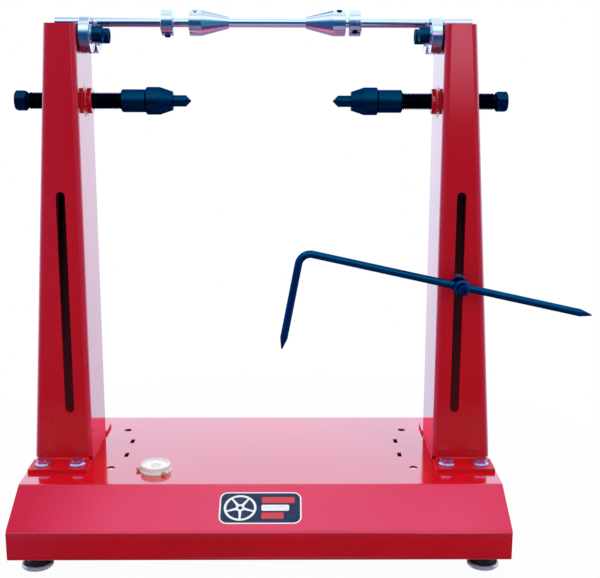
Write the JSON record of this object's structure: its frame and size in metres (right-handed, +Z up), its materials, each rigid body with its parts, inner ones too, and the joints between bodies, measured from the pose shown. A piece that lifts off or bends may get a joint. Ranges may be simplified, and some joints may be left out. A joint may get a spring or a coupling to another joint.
{
  "type": "wheel balancing stand",
  "caption": "Bench stand for balancing wheels: a folded red base with levelling feet, slotted columns, a test shaft on rollers, screw centres, a pointer and a level.",
  "frame": {"origin": "on the floor under the middle of the base, midway between the columns and between front and back", "axes": "+X to the right along the base and the test shaft, +Y to the back, +Z up"},
  "size_m": [0.6069, 0.324, 0.5579],
  "materials": {
    "red_paint": "gloss",
    "black_oxide": "satin",
    "turned_steel": "ground",
    "bearing_steel": "polished",
    "zinc_plate": "satin",
    "bright_ring": "polished",
    "rubber": "matte",
    "vial": "clear",
    "brass": "satin"
  },
  "bodies": {
    "frame": {"base_shell": "red_paint", "left_column": "red_paint", "right_column": "red_paint", "spindle_bosses": "red_paint", "column_bolts": "zinc_plate", "column_nuts": "zinc_plate", "roller_bushes": "black_oxide", "roller_inner_rings": "bearing_steel", "roller_balls": "bearing_steel", "roller_washers": "zinc_plate", "roller_screws": "black_oxide", "roller_nuts": "zinc_plate", "level_rim": "zinc_plate", "level_vial": "vial", "level_screws": "zinc_plate", "foot_weld_nuts": "zinc_plate", "foot_lock_nuts": "zinc_plate"},
    "shaft": {"test_shaft": "turned_steel"},
    "left_front_roller": {"left_front_roller": "bearing_steel"},
    "left_rear_roller": {"left_rear_roller": "bearing_steel"},
    "right_front_roller": {"right_front_roller": "bearing_steel"},
    "right_rear_roller": {"right_rear_roller": "bearing_steel"},
    "left_collar": {"left_collar": "turned_steel", "left_collar_grub": "black_oxide"},
    "left_shaft_cone": {"left_shaft_cone": "turned_steel", "left_cone_grub": "black_oxide"},
    "right_shaft_cone": {"right_shaft_cone": "turned_steel", "right_cone_grub": "black_oxide"},
    "right_collar": {"right_collar": "turned_steel", "right_collar_grub": "black_oxide"},
    "left_housing": {"left_housing": "black_oxide", "left_housing_bush": "brass", "left_housing_grubs": "black_oxide"},
    "left_screw": {"left_screw": "black_oxide"},
    "left_centre": {"left_centre_cone": "black_oxide", "left_centre_pin": "black_oxide"},
    "right_housing": {"right_housing": "black_oxide", "right_housing_bush": "brass", "right_housing_grubs": "black_oxide"},
    "right_screw": {"right_screw": "black_oxide"},
    "right_centre": {"right_centre_cone": "black_oxide", "right_centre_pin": "black_oxide"},
    "clamp_carriage": {"clamp_washer": "zinc_plate", "clamp_nut": "zinc_plate"},
    "clamp": {"clamp_body": "black_oxide", "clamp_screw": "black_oxide"},
    "pointer": {"pointer_rod": "black_oxide"},
    "left_front_foot": {"left_front_pad": "rubber", "left_front_ring": "bright_ring"},
    "left_front_stud": {"left_front_stud": "zinc_plate"},
    "left_rear_foot": {"left_rear_pad": "rubber", "left_rear_ring": "bright_ring"},
    "left_rear_stud": {"left_rear_stud": "zinc_plate"},
    "right_front_foot": {"right_front_pad": "rubber", "right_front_ring": "bright_ring"},
    "right_front_stud": {"right_front_stud": "zinc_plate"},
    "right_rear_foot": {"right_rear_pad": "rubber", "right_rear_ring": "bright_ring"},
    "right_rear_stud": {"right_rear_stud": "zinc_plate"}
  },
  "joints": [
    {"name": "shaft_spin", "type": "hinge", "parent": "frame", "child": "shaft", "pos_m": [0, 0, 0.544], "axis": [1, 0, 0], "continuous": true},
    {"name": "left_front_roller_spin", "type": "hinge", "parent": "frame", "child": "left_front_roller", "pos_m": [-0.179, -0.01994, 0.531], "axis": [1, 0, 0], "continuous": true},
    {"name": "left_rear_roller_spin", "type": "hinge", "parent": "frame", "child": "left_rear_roller", "pos_m": [-0.179, 0.01994, 0.531], "axis": [1, 0, 0], "continuous": true},
    {"name": "right_front_roller_spin", "type": "hinge", "parent": "frame", "child": "right_front_roller", "pos_m": [0.179, -0.01994, 0.531], "axis": [1, 0, 0], "continuous": true},
    {"name": "right_rear_roller_spin", "type": "hinge", "parent": "frame", "child": "right_rear_roller", "pos_m": [0.179, 0.01994, 0.531], "axis": [1, 0, 0], "continuous": true},
    {"name": "left_collar_slide", "type": "slide", "parent": "shaft", "child": "left_collar", "axis": [1, 0, 0], "range_m": [-0.05, 0.007]},
    {"name": "left_shaft_cone_slide", "type": "slide", "parent": "shaft", "child": "left_shaft_cone", "axis": [1, 0, 0], "range_m": [-0.007, 0.035]},
    {"name": "right_shaft_cone_slide", "type": "slide", "parent": "shaft", "child": "right_shaft_cone", "axis": [1, 0, 0], "range_m": [-0.035, 0.001]},
    {"name": "right_collar_slide", "type": "slide", "parent": "shaft", "child": "right_collar", "axis": [1, 0, 0], "range_m": [-0.001, 0.05]},
    {"name": "left_housing_slide", "type": "slide", "parent": "frame", "child": "left_housing", "axis": [1, 0, 0], "range_m": [-0.03, 0.045]},
    {"name": "left_screw_turn", "type": "hinge", "parent": "left_housing", "child": "left_screw", "pos_m": [-0.2, 0, 0.4635], "axis": [1, 0, 0], "range_deg": [-5400, 8100]},
    {"name": "left_centre_spin", "type": "hinge", "parent": "left_housing", "child": "left_centre", "pos_m": [-0.11, 0, 0.4635], "axis": [1, 0, 0], "continuous": true},
    {"name": "right_housing_slide", "type": "slide", "parent": "frame", "child": "right_housing", "axis": [-1, 0, 0], "range_m": [-0.03, 0.045]},
    {"name": "right_screw_turn", "type": "hinge", "parent": "right_housing", "child": "right_screw", "pos_m": [0.2, 0, 0.4635], "axis": [-1, 0, 0], "range_deg": [-5400, 8100]},
    {"name": "right_centre_spin", "type": "hinge", "parent": "right_housing", "child": "right_centre", "pos_m": [0.11, 0, 0.4635], "axis": [1, 0, 0], "continuous": true},
    {"name": "pointer_height", "type": "slide", "parent": "frame", "child": "clamp_carriage", "axis": [0, 0, 1], "range_m": [-0.06, 0.09]},
    {"name": "pointer_swing", "type": "hinge", "parent": "clamp_carriage", "child": "clamp", "pos_m": [0.208, -0.0571, 0.2745], "axis": [0, 1, 0], "range_deg": [-15, 30]},
    {"name": "pointer_reach", "type": "slide", "parent": "clamp", "child": "pointer", "axis": [0.9767, 0, -0.2147], "range_m": [-0.1, 0.12]},
    {"name": "left_front_foot_height", "type": "slide", "parent": "frame", "child": "left_front_foot", "axis": [0, 0, 1], "range_m": [-0.012, 0]},
    {"name": "left_front_stud_turn", "type": "hinge", "parent": "left_front_foot", "child": "left_front_stud", "pos_m": [-0.227, -0.134, 0.02], "axis": [0, 0, 1], "range_deg": [-2880, 0]},
    {"name": "left_rear_foot_height", "type": "slide", "parent": "frame", "child": "left_rear_foot", "axis": [0, 0, 1], "range_m": [-0.012, 0]},
    {"name": "left_rear_stud_turn", "type": "hinge", "parent": "left_rear_foot", "child": "left_rear_stud", "pos_m": [-0.227, 0.134, 0.02], "axis": [0, 0, 1], "range_deg": [-2880, 0]},
    {"name": "right_front_foot_height", "type": "slide", "parent": "frame", "child": "right_front_foot", "axis": [0, 0, 1], "range_m": [-0.012, 0]},
    {"name": "right_front_stud_turn", "type": "hinge", "parent": "right_front_foot", "child": "right_front_stud", "pos_m": [0.227, -0.134, 0.02], "axis": [0, 0, 1], "range_deg": [-2880, 0]},
    {"name": "right_rear_foot_height", "type": "slide", "parent": "frame", "child": "right_rear_foot", "axis": [0, 0, 1], "range_m": [-0.012, 0]},
    {"name": "right_rear_stud_turn", "type": "hinge", "parent": "right_rear_foot", "child": "right_rear_stud", "pos_m": [0.227, 0.134, 0.02], "axis": [0, 0, 1], "range_deg": [-2880, 0]}
  ],
  "couplings": [
    {"joint": "left_front_roller_spin", "follows": "shaft_spin", "ratio": -0.27027},
    {"joint": "left_rear_roller_spin", "follows": "shaft_spin", "ratio": -0.27027},
    {"joint": "right_front_roller_spin", "follows": "shaft_spin", "ratio": -0.27027},
    {"joint": "right_rear_roller_spin", "follows": "shaft_spin", "ratio": -0.27027},
    {"joint": "left_screw_turn", "follows": "left_housing_slide", "rad_per_m": 3141.6},
    {"joint": "right_screw_turn", "follows": "right_housing_slide", "rad_per_m": 3141.6},
    {"joint": "left_front_stud_turn", "follows": "left_front_foot_height", "rad_per_m": 4188.8},
    {"joint": "left_rear_stud_turn", "follows": "left_rear_foot_height", "rad_per_m": 4188.8},
    {"joint": "right_front_stud_turn", "follows": "right_front_foot_height", "rad_per_m": 4188.8},
    {"joint": "right_rear_stud_turn", "follows": "right_rear_foot_height", "rad_per_m": 4188.8}
  ]
}
